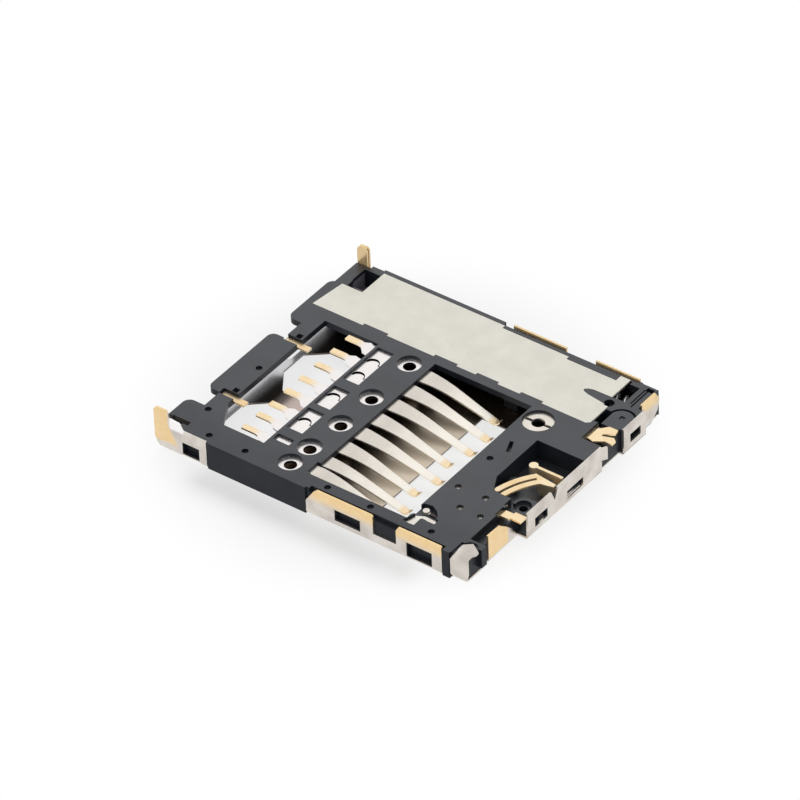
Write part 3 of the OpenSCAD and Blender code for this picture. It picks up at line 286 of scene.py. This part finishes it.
def sheet_metal(name, light, dark, roughness, grain=(12, 1, 1), metallic=0.85, relief=0.0004):
    """Graph of rolled sheet with fine lines; grain says how far they stretch along X, Y and Z."""
    g = Graph(name)
    lines = g.noise(0.12, stretch=grain)
    cloud = g.noise(1.9)
    g.put(g.shader.inputs["Base Color"], g.mix(g.ramp(cloud, 0.25, 0.75), dark, light))
    g.shader.inputs["Metallic"].default_value = metallic
    g.put(g.shader.inputs["Roughness"], g.span(lines, roughness - 0.05, roughness + 0.07))
    g.bump(lines, depth=relief)
    return g


def gold_cloud(g, light=GOLD_LIGHT, dark=GOLD_DARK):
    return g.mix(g.noise(0.7), dark, light)


def contact_plate(name, reach):
    """Bright contact with painted shade at the arm's root and on the upright sides of its strip, a painted
    highlight toward the arm's tip, gold at the tip and on the solder tail.
    """
    g = sheet_metal(name, IVORY_LIGHT, IVORY_DARK, roughness=0.24, grain=(1, 10, 1))
    # Painted shade where the arm leaves the bar.
    g.recolour(g.times(g.inside(**SHADED_ARM_ROOTS), 0.9), ARM_ROOT_SHADE)
    g.recolour(g.inside(**STRIPS), STRIP_WHITE)
    # Painted highlight on the outer, sloping part of the arm.
    g.recolour(g.times(g.along("X", 3.0, 6.5), 0.8), CREAM_HIGHLIGHT)
    tip = g.times(g.along("X", reach - 0.8, reach - 0.35), 0.9)
    tail = g.along("X", TAIL_ROOT_X + 0.3, TAIL_ROOT_X - 0.8)
    g.recolour(g.most(tip, tail), gold_cloud(g))
    # Painted shade on the upright sides of the strips beside the bar, in a dark plastic tone.
    g.recolour(g.times(g.upright(), g.inside(**SHADED_STRIP_SIDES)), STRIP_SIDE_SHADE)
    return g.material


def fixed_contact_plate(name):
    """Bright dot on an arm painted dark as shade."""
    g = sheet_metal(name, IVORY_LIGHT, IVORY_DARK, roughness=0.24)
    # Painted shade: the arm lies in shadow below the roof, so it is painted dark.
    g.recolour(g.inside(**SHADED_FIXED_CONTACT_ARM), SHADE_DARK_METAL)
    return g.material


def tailed_plate(name, tail):
    """Bright sheet with gold solder tails."""
    g = sheet_metal(name, IVORY_LIGHT, IVORY_DARK, roughness=0.26)
    g.recolour(g.inside(**tail), gold_cloud(g))
    return g.material


def cover_plate(name):
    """Steel with gold tabs and legs, painted highlights on the near leg and window lip and painted shade on the
    cut edges; the inside is painted from shade at the bar to light under the arm tips.
    """
    metallic, dull_metallic = 0.9, 0.15
    g = sheet_metal(name, STEEL_LIGHT, STEEL_DARK, roughness=0.2, grain=(1, 12, 1), metallic=metallic)
    # Painted highlights: the near leg's upper edge and the lip below the near window are painted white where
    # they catch light.
    g.recolour(g.inside(**NEAR_LEG_EDGE_HIGHLIGHT), HIGHLIGHT_WHITE_METAL)
    g.recolour(g.inside(**NEAR_WINDOW_LIP_HIGHLIGHT), HIGHLIGHT_WHITE_METAL)

    bare = g.most(g.inside(**REAR_WALL), g.inside(**HOOK_CORNER), g.inside(**WALL_BY_NEAR_LEG))
    upper_half = g.along("Z", 1.5, 2.7)
    tabs = g.times(upper_half, g.math("SUBTRACT", 1.0, bare))
    slant = g.math("ADD", g.axis("X"), g.times(g.axis("Z"), 0.5))
    near_leg = g.times(g.ramp(slant, -13.1 * MM, -13.6 * MM), g.inside(**NEAR_LEG))
    plated = g.most(tabs, g.inside(**LEG_FRONTS), g.inside(**REAR_STEP_TAB), near_leg)
    g.recolour(plated, gold_cloud(g, TAB_GOLD_LIGHT, TAB_GOLD_DARK))

    # Painted light and shade inside the cover: shade at the bar and toward the far side, light under the arm
    # tips.
    inside = g.inside(**COVER_INSIDE)
    toward_tips = g.along("X", -1.0, 5.0)
    toward_far_side = g.times(g.span(g.along("Y", -5, 2), 1.0, 0.75), g.span(g.along("Y", 2.4, 4.6), 1.0, 0.1))
    lit = g.times(toward_tips, toward_far_side)
    under_arms = g.mix(lit, SHADED_INSIDE, LIT_INSIDE)
    # Painted light at the entry's edge, fading to painted shade further in; the web between the cut-outs is
    # painted as lit steel.
    into_entry_shade = g.along("X", -13.4, -12.2)
    entry = g.mix(into_entry_shade, ENTRY_LIT_EDGE, ENTRY_SHADE)
    entry = g.mix(g.inside(**LIT_ENTRY_WEB), entry, LIT_WEB_STEEL)
    past_bar = g.along("X", -7, -5)
    g.recolour(inside, g.mix(past_bar, entry, under_arms))
    # Painted shade on the cut edges of the openings inside the cover.
    g.recolour(g.inside(**SHADED_COVER_CUT_EDGES), SHADE_DARK_METAL)

    far_gold = g.times(plated, g.inside(**FAR_WALL))
    dull = g.most(g.times(inside, lit), g.times(plated, 0.2), g.times(far_gold, 0.65))
    g.put(g.shader.inputs["Metallic"], g.span(dull, metallic, dull_metallic))
    return g.material


def dress(material, *nodes):
    for node in nodes:
        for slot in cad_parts[node].material_slots:
            slot.material = material


wire_mat = sheet_metal("wire_bright_steel", WIRE_LIGHT, WIRE_DARK, roughness=0.3, metallic=0.65).material
plate_mat = sheet_metal("plate_matt_steel", PLATE_LIGHT, PLATE_DARK, roughness=0.5, grain=(14, 1, 1),
                        metallic=0.6).material
gold_mat = sheet_metal("terminal_gold_plate", GOLD_LIGHT, GOLD_DARK, roughness=0.32, metallic=0.7,
                       relief=0.0002).material

dress(plastic("housing_plastic_satin", HOUSING_LIGHT, HOUSING_DARK), "housing")
dress(plastic("slider_plastic_satin", SLIDER_LIGHT, SLIDER_DARK), "ejector_slider")
dress(cover_plate("cover_rolled_steel"), "cover_shell")
dress(plate_mat, "mechanism_plate")
dress(wire_mat, "card_catch", "cam_rod")
dress(gold_mat, "detect_fork_blade", "detect_fixed_blade", "entry_anchor_far", "entry_anchor_near")
dress(fixed_contact_plate("fixed_contact_plate"), "protect_fixed_contact")
dress(tailed_plate("twin_terminal_plate", TWIN_TAILS), "twin_tail_terminal")
dress(tailed_plate("protect_blade_plate", PROTECT_TAIL), "protect_blade")
for number, contact in enumerate(CONTACTS, 1):
    reach = SHORT_REACH if number in SHORT_ARMS else LONG_REACH
    dress(contact_plate(f"{contact}_plate", reach), contact)


# Finer spring
COIL_TURNS = 18
CLOSED_TURNS = 1
CLOSED_PITCH = 1.04 * SPRING_WIRE
STEPS_PER_TURN = 28
WIRE_SIDES = 10

spring_low, spring_high = (Vector(corner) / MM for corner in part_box("ejector_spring"))
spring_mid = (spring_low + spring_high) / 2


def coil():
    """Helix along X whose first and last turns lie close together."""
    length = spring_high.x - spring_low.x - SPRING_WIRE
    closed_length = CLOSED_TURNS * CLOSED_PITCH
    open_pitch = (length - 2 * closed_length) / (COIL_TURNS - 2 * CLOSED_TURNS)
    radius = (spring_high.z - spring_low.z - SPRING_WIRE) / 2
    line = []
    for k in range(COIL_TURNS * STEPS_PER_TURN + 1):
        t = k / STEPS_PER_TURN
        if t < CLOSED_TURNS:
            x = t * CLOSED_PITCH
        elif t > COIL_TURNS - CLOSED_TURNS:
            x = length - (COIL_TURNS - t) * CLOSED_PITCH
        else:
            x = closed_length + (t - CLOSED_TURNS) * open_pitch
        turn = 2 * math.pi * t
        line.append(Vector((spring_low.x + SPRING_WIRE / 2 + x, spring_mid.y + radius * math.cos(turn),
                            spring_mid.z + radius * math.sin(turn))))
    return line


def swept_wire(name, points, radius):
    """A round wire along a line of points in millimetres.

    Its rings are turned from the Z axis, or from the X axis where the line is steep; the wire is pinched where
    one gives way to the other.
    """
    steep = 0.9
    bm = bmesh.new()
    rings = []
    for i, at in enumerate(points):
        ahead = (points[min(i + 1, len(points) - 1)] - points[max(i - 1, 0)]).normalized()
        side = ahead.cross(Vector((0, 0, 1)) if abs(ahead.z) < steep else Vector((1, 0, 0))).normalized()
        up = side.cross(ahead)
        ring = []
        for s in range(WIRE_SIDES):
            turn = 2 * math.pi * s / WIRE_SIDES
            ring.append(bm.verts.new((at + radius * (math.cos(turn) * side + math.sin(turn) * up)) * MM))
        rings.append(ring)
    for low, high in zip(rings, rings[1:]):
        for s in range(WIRE_SIDES):
            after = (s + 1) % WIRE_SIDES
            bm.faces.new((low[s], low[after], high[after], high[s]))
    bm.faces.new(rings[0][::-1])
    bm.faces.new(rings[-1])
    bmesh.ops.recalc_face_normals(bm, faces=bm.faces)
    for face in bm.faces:
        face.smooth = True
    mesh = bpy.data.meshes.new(name)
    bm.to_mesh(mesh)
    bm.free()
    return mesh


spring = bpy.data.objects.new("spring_coil", swept_wire("spring_coil", coil(), SPRING_WIRE / 2))
bpy.context.scene.collection.objects.link(spring)
spring.data.materials.append(wire_mat)
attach(spring, "frame")
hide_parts("ejector_spring")
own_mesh(spring)


# Camera at the photograph's angle
AZIMUTH = math.radians(37.906)
ELEVATION = math.radians(38.922)
ROLL = math.radians(-2.219)
TARGET = Vector((-1.805, 3.019, 0.0)) * MM
DISTANCE = 673.37 * MM
FOCAL_PIXELS = 7272
FRAME_PIXELS = 800
SENSOR_WIDTH = 36.0

back = Vector((math.sin(AZIMUTH) * math.cos(ELEVATION), -math.cos(AZIMUTH) * math.cos(ELEVATION),
               math.sin(ELEVATION)))
right = Vector((math.cos(AZIMUTH), math.sin(AZIMUTH), 0))
up = back.cross(right)
cam_x = math.cos(ROLL) * right + math.sin(ROLL) * up
cam_y = -math.sin(ROLL) * right + math.cos(ROLL) * up
lens = bpy.data.cameras.new("photo_camera")
lens.sensor_width = SENSOR_WIDTH
lens.lens = FOCAL_PIXELS / FRAME_PIXELS * SENSOR_WIDTH
camera = bpy.data.objects.new("photo_camera", lens)
facing = Matrix((cam_x, cam_y, back)).transposed().to_4x4()
camera.matrix_world = Matrix.Translation(TARGET + DISTANCE * back) @ facing
bpy.context.scene.collection.objects.link(camera)
bpy.context.scene.camera = camera

# Light: a pale dome, a wide softbox from the back left, and a small lamp that draws the shadows
SKY_STRENGTH = 0.55


def seen_directly(tree, camera_share=1.0):
    """A share for camera rays, 1 for glossy and transmission rays, 0 for light that falls on the object."""
    path = tree.nodes.new("ShaderNodeLightPath")
    step = tree.nodes.new("ShaderNodeMath")
    step.operation = "MULTIPLY"
    tree.links.new(path.outputs["Is Camera Ray"], step.inputs[0])
    if isinstance(camera_share, bpy.types.NodeSocket):
        tree.links.new(camera_share, step.inputs[1])
    else:
        step.inputs[1].default_value = camera_share
    seen = step.outputs[0]
    for kind in ("Is Glossy Ray", "Is Transmission Ray"):
        either = tree.nodes.new("ShaderNodeMath")
        either.operation = "MAXIMUM"
        tree.links.new(seen, either.inputs[0])
        tree.links.new(path.outputs[kind], either.inputs[1])
        seen = either.outputs[0]
    return seen


def world_light():
    """A dome that lights the object at the sky's strength and shows as plain white."""
    world = bpy.data.worlds.new("studio")
    bpy.context.scene.world = world
    world.use_nodes = True
    tree = world.node_tree
    tree.nodes.clear()
    out = tree.nodes.new("ShaderNodeOutputWorld")
    sky = tree.nodes.new("ShaderNodeBackground")
    sky.inputs["Color"].default_value = WHITE
    level = tree.nodes.new("ShaderNodeMapRange")
    level.inputs["To Min"].default_value = SKY_STRENGTH
    level.inputs["To Max"].default_value = 1.0
    tree.links.new(seen_directly(tree), level.inputs["Value"])
    tree.links.new(level.outputs["Result"], sky.inputs["Strength"])
    tree.links.new(sky.outputs[0], out.inputs["Surface"])


def lamp(name, place, size, power):
    """A square lamp that faces the object and doesn't show in reflections; metres and watts."""
    light = bpy.data.lights.new(name, "AREA")
    light.shape = "SQUARE"
    light.size = size
    light.energy = power
    holder = bpy.data.objects.new(name, light)
    holder.location = place
    holder.rotation_euler = (-Vector(place)).to_track_quat("-Z", "Y").to_euler()
    holder.visible_glossy = False
    bpy.context.scene.collection.objects.link(holder)


world_light()
lamp("softbox", place=(-0.43, 0.55, 0.565), size=0.9, power=2.0)
lamp("shadow_key", place=(-0.16, 0.2, 0.25), size=0.1, power=0.25)

# Floor, in metres
FLOOR_HALF = 1.5
FLOOR_CLEARANCE = 0.00002
WHITE_FROM, WHITE_AT = 0.016, 0.027
GLOW_BY_OBJECT = 0.72
SHADE_BY_NEAR_WALL = 0.25


def floor_material():
    """Pale ground that turns white away from the object, with a painted shadow along its near wall."""
    g = Graph("floor_pale")
    g.shader.inputs["Base Color"].default_value = FLOOR_GREY
    g.shader.inputs["Roughness"].default_value = 0.9
    g.shader.inputs["Specular IOR Level"].default_value = 0.1
    glow = g.tree.nodes.new("ShaderNodeEmission")
    glow.inputs["Color"].default_value = WHITE
    far = g.tree.nodes.new("ShaderNodeVectorMath")
    far.operation = "LENGTH"
    g.join(g.position(), far.inputs[0])
    away = g.span(g.ramp(far.outputs["Value"], WHITE_FROM, WHITE_AT), GLOW_BY_OBJECT, 1.0)
    # Painted shadow: the floor's glow is lowered along the near wall so it reads darker there.
    shade = g.times(g.inside(**PAINTED_SHADOW_BY_NEAR_WALL), SHADE_BY_NEAR_WALL)
    share = seen_directly(g.tree, g.math("SUBTRACT", away, shade))
    blend = g.tree.nodes.new("ShaderNodeMixShader")
    g.join(share, blend.inputs[0])
    g.join(g.shader.outputs[0], blend.inputs[1])
    g.join(glow.outputs[0], blend.inputs[2])
    g.join(blend.outputs[0], g.output.inputs["Surface"])
    return g.material


floor_mesh = bpy.data.meshes.new("floor")
corners = [(x * FLOOR_HALF, y * FLOOR_HALF, 0) for x, y in ((-1, -1), (1, -1), (1, 1), (-1, 1))]
floor_mesh.from_pydata(corners, [], [(0, 1, 2, 3)])
floor = bpy.data.objects.new("floor", floor_mesh)
floor.data.materials.append(floor_material())
floor.location.z = cad_low[2] - FLOOR_CLEARANCE
bpy.context.scene.collection.objects.link(floor)

bpy.context.scene.view_settings.view_transform = "Standard"
